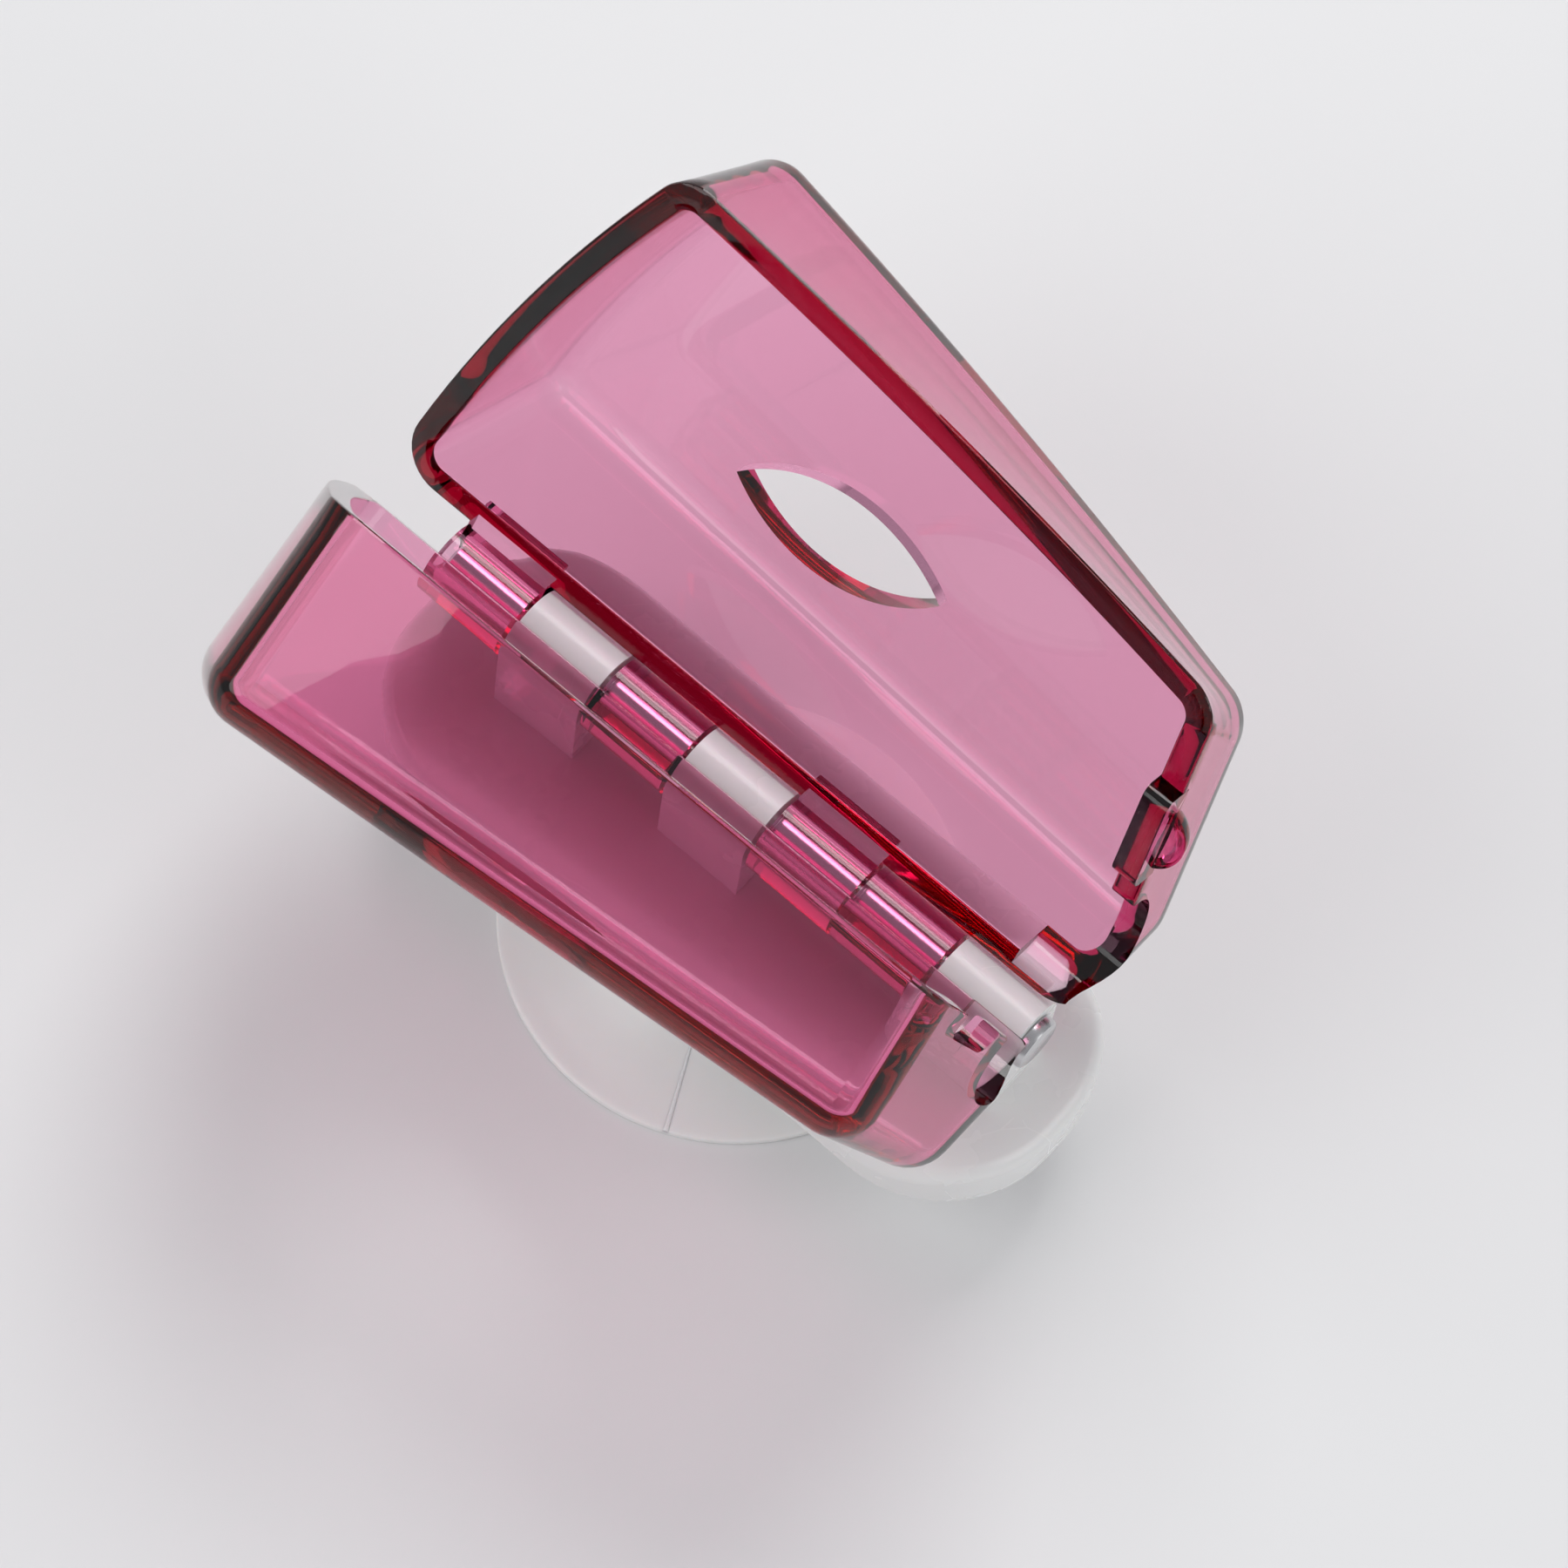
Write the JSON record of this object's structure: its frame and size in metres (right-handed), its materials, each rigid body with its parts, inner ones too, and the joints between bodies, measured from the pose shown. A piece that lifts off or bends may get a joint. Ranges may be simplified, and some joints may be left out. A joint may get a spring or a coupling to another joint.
{
  "type": "toothbrush cover",
  "caption": "Butterfly-opening brush-head cover: clear half shells hinged along a long side on a white saddle, held to a smooth surface by a suction cup.",
  "frame": {"origin": "centre of the suction cup's contact face, on the surface that it holds to", "axes": "+Z away from that surface; +Y along the hinge, towards the end that takes the brush head's tip; +X towards the right shell"},
  "size_m": [0.0345, 0.0389, 0.0336],
  "materials": {
    "clear_pink": "polished, see-through, dyed raspberry pink",
    "pin_steel": "drawn wire",
    "white_plastic": "semi-gloss, opaque white",
    "soft_clear": "soft, milky, slightly see-through"
  },
  "bodies": {
    "base": {"saddle": "white_plastic", "suction_cup": "soft_clear", "hinge_pin": "pin_steel"},
    "left_shell": {"left_shell": "clear_pink"},
    "right_shell": {"right_shell": "clear_pink"}
  },
  "joints": [
    {"name": "right_shell_hinge", "type": "hinge", "parent": "base", "child": "right_shell", "pos_m": [0, 0.001, 0.0129], "axis": [0, 1, 0], "range_deg": [-30.6, 14.4]},
    {"name": "left_shell_hinge", "type": "hinge", "parent": "base", "child": "left_shell", "pos_m": [0, 0.001, 0.0129], "axis": [0, -1, 0], "range_deg": [-23.3, 21.7]}
  ]
}
